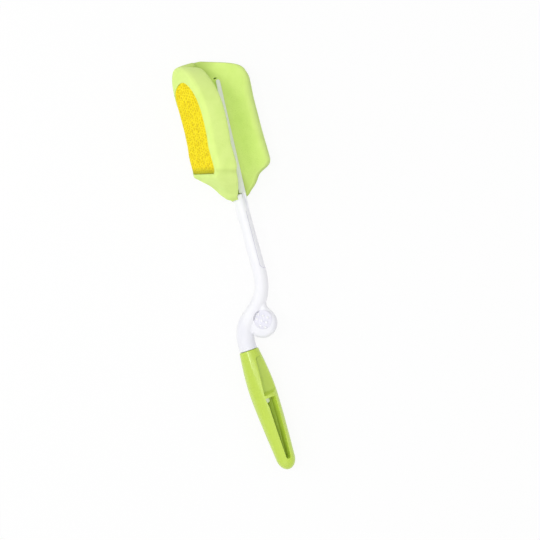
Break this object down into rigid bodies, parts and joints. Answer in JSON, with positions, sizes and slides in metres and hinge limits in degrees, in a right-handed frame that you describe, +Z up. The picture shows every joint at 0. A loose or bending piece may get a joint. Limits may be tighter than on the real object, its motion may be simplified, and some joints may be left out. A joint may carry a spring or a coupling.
{
  "type": "rotating bottle brush",
  "caption": "Bottle brush with a folded foam head and scrub pads on a cranked rod, a thumb knob in the crank and a grip that spins freely on the rod.",
  "frame": {"origin": "centre of the bounding box's bottom face, on the surface that the brush lies on", "axes": "+Y along the rod's shank from the grip to the foam head, +Z up from the surface, +X to the right seen from above with the head at the top"},
  "size_m": [0.0686, 0.3316, 0.0655],
  "materials": {
    "white_plastic": "moulded white plastic, satin",
    "white_rubber": "soft white rubber with raised dots",
    "lime_plastic": "moulded lime green plastic, glossy",
    "lime_foam": "fine open-cell foam, pale lime green",
    "yellow_mesh": "yellow pimpled scrub cloth"
  },
  "bodies": {
    "brush": {"crank_rod": "white_plastic", "sponge_clip": "white_plastic", "thumb_pad_front": "white_rubber", "thumb_pad_back": "white_rubber", "foam_sponge": "lime_foam", "scrub_pad_front": "yellow_mesh", "scrub_pad_back": "yellow_mesh"},
    "grip": {"handle_grip": "lime_plastic"}
  },
  "joints": [
    {"name": "handle_spin", "type": "hinge", "parent": "brush", "child": "grip", "pos_m": [-0.02522, -0.06593, 0.0109], "axis": [-0.0576, 0.9983, 0], "continuous": true}
  ]
}
